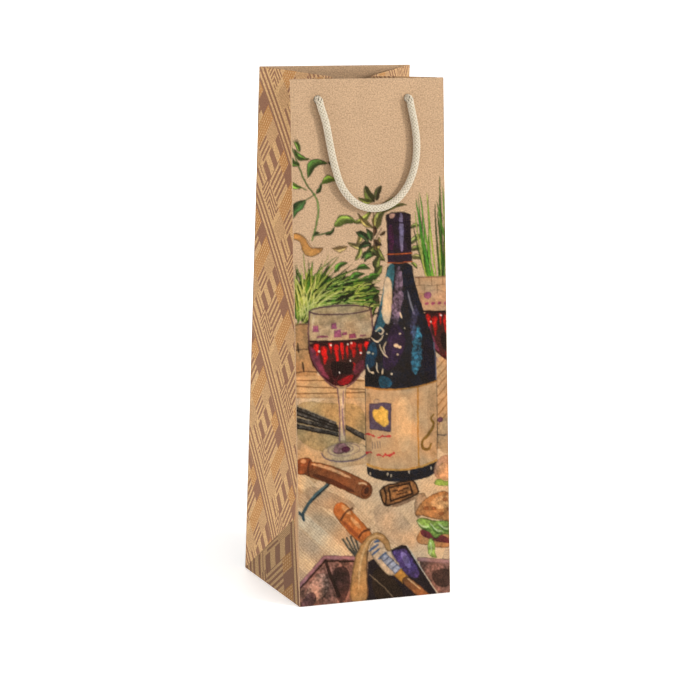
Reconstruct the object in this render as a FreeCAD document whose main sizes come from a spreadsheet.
"""Gift bag for one wine bottle: a gusseted paper bag that stands with its mouth partly folded.

Millimetres. Origin on the floor under the middle of the base, +Z up, the front panel faces -Y.
"""
import FreeCAD, Part
import Sketcher
import math
import os
from FreeCAD import Matrix, Placement, Rotation, Vector

DIMENSIONS = [
    ("bag_width", 115, "front panel, side to side"),
    ("bag_depth", 100, "base, front to back"),
    ("panel_height", 360, "front and back panels, from fold to fold"),
    ("paper", 0.4, "paper thickness"),
    ("fold_gap", 0.3, "room between two leaves that fold on each other"),
    ("mouth_setback", 45, "how far the front panel's top stands behind its foot"),
    ("base_triangle_lean", 19.5, "degrees that the side triangles lean inwards"),
    ("crease_room", 4, "room between the two halves of a gusset at its crease"),
    ("crease_foot_setback", 3, "how far a crease's foot stands behind the middle of the base"),
    ("crease_foot_rise", 1, "room between a crease's foot and the base triangle under it"),
    ("triangle_trim", 1.5, "cut off each end of a base triangle, clear of the corners"),
    ("triangle_tip_trim", 1.8, "cut off its tip, clear of the crease"),
    ("reinforcement", 0.6, "thickness of the card at the handle holes"),
    ("reinforcement_width", 88, "width of that card"),
    ("reinforcement_height", 32, "height of that card"),
    ("turn_in_width", 92, "paper folded in over that card"),
    ("turn_in_height", 38, "depth of the folded-in edge"),
    ("gusset_turn_in_start", 8, "from a gusset's fold to its own turned-in edge"),
    ("gusset_turn_in_end", 44, "to the other end of that edge"),
    ("hole_diameter", 6, "handle holes"),
    ("hole_drop", 14, "from the top edge down to the handle holes"),
    ("hole_left", -37.5, "left handle hole, from the bag's middle"),
    ("hole_right", 30, "right handle hole, from the bag's middle"),
    ("cord_diameter", 5, "braided handle cord"),
    ("cord_standoff", 3.4, "cord's middle, in front of the front panel's inner face"),
    ("knot_width", 10, "knot, side to side"),
    ("knot_height", 11, "knot, up and down"),
    ("knot_depth", 6.4, "knot, pressed flat between the card and the gusset"),
    ("base_card", 0.8, "thickness of the card that stiffens the bottom"),
    ("base_card_width", 111, "that card, side to side"),
    ("base_card_depth", 97.4, "that card, front to back"),
    ("end_flap_length", 60, "bottom flaps folded in from the front and the back"),
    ("side_flap_length", 46, "bottom flaps folded in from the sides"),
    ("end_flap_trim", 0.2, "from the rear flap's fold to the side of the bag"),
    ("end_flap_taper", 8, "how much narrower the rear flap's free edge is at each end"),
    ("front_flap_width", 109, "front bottom flap, side to side"),
    ("side_flap_inset", 0.8, "from a side flap's fold to the side of the bag"),
    ("side_flap_trim", 1.2, "cut off each end of that fold"),
    ("side_flap_taper", 14, "how much shorter the side flap's free edge is at each end"),
    ("seam_flap_width", 15, "glued lap of the side seam"),
    ("seam_flap_inset", 3.5, "from that lap to the side of the bag"),
    ("seam_flap_foot", 4, "height of the lap's lower end at the fold"),
    ("seam_flap_taper", 8, "how much the lap's free edge is shorter at each end"),
    ("seam_flap_top", 316, "height of its upper end at the fold"),
]

doc = FreeCAD.newDocument("wine_gift_bag")
sheet = doc.addObject("Spreadsheet::Sheet", "Dims")
for row, (alias, amount, meaning) in enumerate(DIMENSIONS, start=1):
    sheet.set(f"A{row}", str(amount))
    sheet.setAlias(f"A{row}", alias)
    sheet.set(f"B{row}", meaning)
doc.recompute()
D = {alias: float(sheet.get(alias)) for alias, _, _ in DIMENSIONS}

PAPER, GAP = D["paper"], D["fold_gap"]
HALF_WIDTH, HALF_DEPTH = D["bag_width"] / 2, D["bag_depth"] / 2
FRONT_LEAN = math.degrees(math.asin(D["mouth_setback"] / D["panel_height"]))
FLAP_LAYER = 2 * PAPER  # the two end flaps lie under the side flaps
FOOT = 4.0  # the gussets start this far above the floor, clear of the base card
EDGE = 0.3  # a gusset starts this far from its fold, out of HALF_DEPTH
SIDES = {"left": -1, "right": 1}

parts = []


def keep(item, label, placement=None):
    """Names a finished sub-part and puts it in its place."""
    item.Label = label
    if placement is not None:
        item.Placement = placement
    parts.append(item)
    return item


def frame(origin, across, up):
    """A placement whose own X runs across a leaf, Y up it and Z out through its printed face."""
    out = across.cross(up)
    return Placement(Matrix(across.x, up.x, out.x, origin.x,
                            across.y, up.y, out.y, origin.y,
                            across.z, up.z, out.z, origin.z,
                            0, 0, 0, 1))


lean = math.radians(FRONT_LEAN)
tilt = math.radians(D["base_triangle_lean"])
FRONT = frame(Vector(0, PAPER - HALF_DEPTH, 0), Vector(1, 0, 0),
              Vector(0, math.sin(lean), math.cos(lean)))
BACK = frame(Vector(0, HALF_DEPTH - PAPER, 0), Vector(-1, 0, 0), Vector(0, 0, 1))
FLOOR = Placement()


def side_frame(sign):
    """The frame of a side's base triangle, at the inner face of its bottom fold."""
    return frame(Vector(sign * (HALF_WIDTH - PAPER), 0, FLAP_LAYER), Vector(0, sign, 0),
                 Vector(-sign * math.sin(tilt), 0, math.cos(tilt)))


# ---- flat leaves: a sketched outline, padded by the paper or card thickness ----

def outline_sketch(body, name, corners, holes):
    """A closed outline of (x, y) corners and round (x, y, diameter) holes, bound to the sheet."""
    sketch = body.newObject("Sketcher::SketchObject", name)
    plane = [f for f in body.Origin.OriginFeatures if f.Role == "XY_Plane"][0]
    sketch.AttachmentSupport = (plane, [""])
    sketch.MapMode = "FlatFace"
    spots = [Vector(value(x), value(y), 0) for x, y in corners]
    for i, spot in enumerate(spots):
        sketch.addGeometry(Part.LineSegment(spot, spots[(i + 1) % len(spots)]), False)
    for i in range(len(spots)):
        sketch.addConstraint(Sketcher.Constraint("Coincident", i, 2, (i + 1) % len(spots), 1))
    for i, (x, y) in enumerate(corners):
        bind(sketch, "DistanceX", (-1, 1, i, 1), x)
        bind(sketch, "DistanceY", (-1, 1, i, 1), y)
    for x, y, diameter in holes:
        circle = Part.Circle(Vector(value(x), value(y), 0), Vector(0, 0, 1), value(diameter) / 2)
        index = sketch.addGeometry(circle, False)
        bind(sketch, "DistanceX", (-1, 1, index, 3), x)
        bind(sketch, "DistanceY", (-1, 1, index, 3), y)
        bind(sketch, "Diameter", (index,), diameter)
    return sketch


def value(expression):
    """The number that an expression of the sheet's cells gives now."""
    sheet.set("D1", "=" + expression.replace("Dims.", ""))
    sheet.recompute()
    return float(sheet.get("D1"))


def bind(sketch, kind, where, expression):
    index = sketch.addConstraint(Sketcher.Constraint(kind, *where, value(expression)))
    sketch.setExpression(f"Constraints[{index}]", expression)


def leaf(label, place, corners, thickness, offset="0", holes=()):
    """A flat piece whose outline is padded outwards from offset, along its frame's own Z."""
    body = doc.addObject("PartDesign::Body", label)
    sketch = outline_sketch(body, label + "_outline", corners, holes)
    pad = body.newObject("PartDesign::Pad", label + "_pad")
    pad.Profile = sketch
    pad.setExpression("Length", thickness)
    body.Tip = pad
    sketch.Visibility = False
    return keep(body, label, place * Placement(Vector(0, 0, value(offset)), Rotation()))


def rectangle(width, low, high):
    """Corners of a rectangle centred on the leaf's middle line."""
    return [(f"-({width}) / 2", low), (f"({width}) / 2", low),
            (f"({width}) / 2", high), (f"-({width}) / 2", high)]


TOP = "Dims.panel_height"
HOLE_HEIGHT = "Dims.panel_height - Dims.hole_drop"


def holes_seen_from(sign):
    """Both handle holes. They are punched through the flat bag, so the back is a mirror image."""
    return [(f"{sign} * Dims.hole_left", HOLE_HEIGHT, "Dims.hole_diameter"),
            (f"{sign} * Dims.hole_right", HOLE_HEIGHT, "Dims.hole_diameter")]


def make_wall(name, place, sign):
    """One big panel with the card and the turned-in edge that stiffen its handle holes."""
    holes = holes_seen_from(sign)
    leaf(f"{name}_panel", place, rectangle("Dims.bag_width", "Dims.paper / 2", TOP),
         "Dims.paper", holes=holes)
    leaf(f"{name}_card", place,
         rectangle("Dims.reinforcement_width", f"{TOP} - Dims.reinforcement_height",
                   f"{TOP} - Dims.paper"),
         "Dims.reinforcement", "-Dims.reinforcement", holes)
    leaf(f"{name}_turn_in", place,
         rectangle("Dims.turn_in_width", f"{TOP} - Dims.turn_in_height", f"{TOP} - Dims.paper"),
         "Dims.paper", "-Dims.reinforcement - Dims.paper", holes)


make_wall("front", FRONT, 1)
make_wall("back", BACK, -1)

TRIANGLE_END = "Dims.bag_depth / 2 - Dims.triangle_trim"
TRIANGLE_TIP = "Dims.bag_depth / 2 - Dims.triangle_tip_trim"
for side, sign in SIDES.items():
    leaf(f"{side}_base_triangle", side_frame(sign),
         [(f"-({TRIANGLE_END})", "Dims.paper / 4"), (TRIANGLE_END, "Dims.paper / 4"),
          ("Dims.fold_gap", TRIANGLE_TIP), ("-Dims.fold_gap", TRIANGLE_TIP)],
         "Dims.paper")

# The seam lap is glued inside the back panel, beside its right fold.
LAP_FOLD = "Dims.seam_flap_inset - Dims.bag_width / 2"
LAP_EDGE = f"{LAP_FOLD} + Dims.seam_flap_width"
leaf("seam_flap", BACK,
     [(LAP_FOLD, "Dims.seam_flap_foot"),
      (LAP_EDGE, "Dims.seam_flap_foot + Dims.seam_flap_taper"),
      (LAP_EDGE, "Dims.seam_flap_top - Dims.seam_flap_taper"),
      (LAP_FOLD, "Dims.seam_flap_top")],
     "Dims.paper", "-Dims.paper")


# ---- bottom: two glued end flaps, two side flaps over them, and a card on top ----

REAR_FOLD = "Dims.bag_depth / 2 - Dims.paper"
REAR_EDGE = "Dims.bag_depth / 2 - Dims.end_flap_length"
FOLD_END = "Dims.bag_width / 2 - Dims.end_flap_trim"
EDGE_END = "Dims.bag_width / 2 - Dims.end_flap_taper"
leaf("bottom_rear_flap", FLOOR,
     [(f"-({FOLD_END})", REAR_FOLD), (f"-({EDGE_END})", REAR_EDGE),
      (EDGE_END, REAR_EDGE), (FOLD_END, REAR_FOLD)],
     "Dims.paper")


def make_front_flap():
    """The front flap lies on the floor and steps up where it laps over the rear flap."""
    label = "bottom_front_flap"
    body = doc.addObject("PartDesign::Body", label)
    step = "Dims.bag_depth / 2 - Dims.end_flap_length - Dims.fold_gap"
    tip = "Dims.end_flap_length - Dims.bag_depth / 2"
    front_edge = "-Dims.bag_depth / 2 + Dims.paper + Dims.fold_gap"
    sketch = outline_sketch(body, label + "_outline", [
        (front_edge, "0"), (step, "0"), (step, "Dims.paper"), (tip, "Dims.paper"),
        (tip, "Dims.paper * 2"), (f"{step} - Dims.paper", "Dims.paper * 2"),
        (f"{step} - Dims.paper", "Dims.paper"), (front_edge, "Dims.paper")], [])
    pad = body.newObject("PartDesign::Pad", label + "_pad")
    pad.Profile = sketch
    pad.setExpression("Length", "Dims.front_flap_width")
    pad.Midplane = True
    body.Tip = pad
    sketch.Visibility = False
    keep(body, label, frame(Vector(), Vector(0, 1, 0), Vector(0, 0, 1)))


make_front_flap()

for side, sign in SIDES.items():
    outer = f"{sign} * (Dims.bag_width / 2 - Dims.side_flap_inset)"
    inner = f"{sign} * (Dims.bag_width / 2 - Dims.side_flap_length)"
    fold_end = "Dims.bag_depth / 2 - Dims.side_flap_trim"
    edge_end = "Dims.bag_depth / 2 - Dims.side_flap_taper"
    leaf(f"bottom_{side}_flap", FLOOR,
         [(outer, f"-({fold_end})"), (inner, f"-({edge_end})"), (inner, edge_end), (outer, fold_end)],
         "Dims.paper", "Dims.paper * 2")

leaf("base_card", FLOOR,
     rectangle("Dims.base_card_width", "-Dims.base_card_depth / 2", "Dims.base_card_depth / 2"),
     "Dims.base_card", "Dims.paper * 3")


# ---- gussets: each half is a twisted leaf between its fold and the middle crease ----

def gusset_corners(sign, end):
    """Fold foot, fold top, crease foot and crease top of one half, on its inner face."""
    fold_x = sign * (HALF_WIDTH - PAPER)
    apex = side_frame(sign).multVec(Vector(0, HALF_DEPTH, 0))
    folds = {"rear": [BACK.multVec(Vector(-fold_x, y, -GAP)) for y in (FOOT, D["panel_height"])],
             "front": [FRONT.multVec(Vector(fold_x, y, -GAP)) for y in (FOOT, D["panel_height"])]}
    foot, top = folds[end]
    crease_y = (folds["rear"][1].y + folds["front"][1].y) / 2
    reach = math.sqrt((HALF_DEPTH - PAPER) ** 2 - (folds["rear"][1].y - crease_y) ** 2)
    crease_x = fold_x - sign * reach
    run = D["panel_height"] - HALF_DEPTH
    rise = math.sqrt(run ** 2 - (crease_x - apex.x) ** 2 - (crease_y - apex.y) ** 2)
    shift = D["crease_room"] / 2 * (1 if end == "rear" else -1)
    crease_foot = apex + Vector(0, D["crease_foot_setback"] + shift, D["crease_foot_rise"])
    crease_top = Vector(crease_x, crease_y + shift, apex.z + rise)
    return foot, top, crease_foot, crease_top


def between(a, b, share):
    return a + (b - a) * share


def edge_strip(name, near, far, up, outward, low, high):
    """A thin four-cornered wire from near to far, between two distances from the inner face."""
    normal = (far - near).cross(up)
    normal.normalize()
    if normal.dot(outward) < 0:
        normal = -normal
    wire = doc.addObject("Part::Polygon", name)
    wire.Nodes = [near + normal * low, far + normal * low, far + normal * high, near + normal * high]
    wire.Close = True
    wire.Visibility = False
    return wire


def ruled_leaf(label, foot, top, crease_foot, crease_top, outward, low, high):
    """A leaf of even thickness that twists from its bottom edge to its top edge."""
    up = top - foot
    loft = doc.addObject("Part::Loft", label)
    loft.Sections = [edge_strip(label + "_bottom_edge", foot, crease_foot, up, outward, low, high),
                     edge_strip(label + "_top_edge", top, crease_top, up, outward, low, high)]
    loft.Solid = True
    loft.Ruled = True
    keep(loft, label)


def make_gusset_half(side, sign, end):
    foot, top, crease_foot, crease_top = gusset_corners(sign, end)
    outward = Vector(sign, -1 if end == "rear" else 1, 0)
    near_foot = between(foot, crease_foot, EDGE / HALF_DEPTH)
    near_top = between(top, crease_top, EDGE / HALF_DEPTH)
    ruled_leaf(f"{side}_gusset_{end}", near_foot, near_top, crease_foot, crease_top,
               outward, 0, PAPER)
    share = 1 - D["turn_in_height"] / D["panel_height"]
    start, stop = D["gusset_turn_in_start"] / HALF_DEPTH, D["gusset_turn_in_end"] / HALF_DEPTH
    low_fold, low_crease = between(foot, top, share), between(crease_foot, crease_top, share)
    ruled_leaf(f"{side}_gusset_{end}_turn_in",
               between(low_fold, low_crease, start), between(top, crease_top, start),
               between(low_fold, low_crease, stop), between(top, crease_top, stop),
               outward, -PAPER, 0)


for side, sign in SIDES.items():
    for end in ("rear", "front"):
        make_gusset_half(side, sign, end)


# ---- handle: one braided cord that hangs in front, and a knot at each of its ends ----

# The cord's middle line in the front panel's frame: across, up, and in front of its inner face.
HANDLE_ROUTE = [
    (-37.5, 346, 3.4),
    (-33.2, 332, 3.6),
    (-30.6, 316, 4.0),
    (-27.6, 301, 4.2),
    (-22.9, 286, 4.4),
    (-12.8, 274.6, 4.6),
    (0.6, 270.4, 4.8),
    (14.8, 273.3, 4.6),
    (26.4, 283.8, 4.4),
    (33.4, 299.5, 4.2),
    (35.0, 316, 4.0),
    (33.0, 331, 3.6),
    (30, 346, 3.4),
]
ARC_SHARE = 0.45  # of the shorter of the two runs that meet at a point


def rounded_route(points):
    """Straight runs joined by tangent arcs, as a wire, with the radius of each arc."""
    edges, radii, start = [], [], points[0]
    for before, corner, after in zip(points, points[1:], points[2:]):
        back, ahead = before - corner, after - corner
        reach = ARC_SHARE * min(back.Length, ahead.Length)
        half_turn = (math.pi - back.getAngle(ahead)) / 2
        radii.append(reach / math.tan(half_turn))
        back.normalize()
        ahead.normalize()
        enter, leave = corner + back * reach, corner + ahead * reach
        centre = corner + (back + ahead).normalize() * (radii[-1] / math.cos(half_turn))
        middle = centre + (corner - centre).normalize() * radii[-1]
        edges += [Part.LineSegment(start, enter).toShape(), Part.Arc(enter, middle, leave).toShape()]
        start = leave
    edges.append(Part.LineSegment(start, points[-1]).toShape())
    return Part.Wire(edges), radii


def make_handle():
    """The cord's tube is swept along its own route, which the sheet's cells can't describe."""
    route = [FRONT.multVec(Vector(*point)) for point in HANDLE_ROUTE]
    path, radii = rounded_route(route)
    section = Part.Wire(Part.makeCircle(D["cord_diameter"] / 2, route[0], route[1] - route[0]))
    tube = doc.addObject("Part::Feature", "front_handle")
    tube.Shape = path.makePipeShell([section], True, False)
    expected = math.pi * D["cord_diameter"] ** 2 / 4 * path.Length
    print("handle radii", [round(r, 1) for r in radii], "length", round(path.Length, 1),
          "volume / (section x length)", round(tube.Shape.Volume / expected, 4))
    keep(tube, "front_handle")


def make_knot(side, across):
    """The flattened knot behind the card, and the stretch of cord that fills its hole."""
    outer_face = D["cord_standoff"] - D["cord_diameter"] / 2 - GAP
    inner_face = -D["reinforcement"] - PAPER
    lump = doc.addObject("Part::Ellipsoid", f"front_{side}_knot_lump")
    lump.setExpression("Radius1", "Dims.knot_depth / 2")
    lump.setExpression("Radius2", "Dims.knot_width / 2")
    lump.setExpression("Radius3", "Dims.knot_height / 2")
    lump.Placement = Placement(Vector(0, 0, inner_face - D["knot_depth"] / 2), Rotation())
    neck = doc.addObject("Part::Cylinder", f"front_{side}_knot_neck")
    neck.setExpression("Radius", "Dims.cord_diameter / 2")
    neck.Height = outer_face - inner_face + D["knot_depth"] / 2
    neck.Placement = Placement(Vector(0, 0, outer_face - neck.Height.Value), Rotation())
    knot = doc.addObject("Part::Fuse", f"front_{side}_knot")
    knot.Base, knot.Tool = lump, neck
    spot = Vector(D[across], D["panel_height"] - D["hole_drop"], 0)
    keep(knot, f"front_{side}_knot", FRONT * Placement(spot, Rotation()))


make_handle()
make_knot("left", "hole_left")
make_knot("right", "hole_right")


# ---- check and write ----

doc.recompute()
for item in doc.Objects:
    if "Invalid" in item.State or "Error" in item.State:
        raise RuntimeError(f"{item.Label} failed: {item.State}")
os.makedirs("parts", exist_ok=True)
for item in parts:
    shape = item.Shape
    if shape.isNull() or not shape.isValid() or not shape.Solids or shape.Volume <= 0:
        raise RuntimeError(f"{item.Label} has no sound solid")
    shape.exportStep(f"parts/{item.Label}.step")
    print(f"{item.Label:28s} {shape.Volume:10.1f} mm3 {len(shape.Solids)} solid")
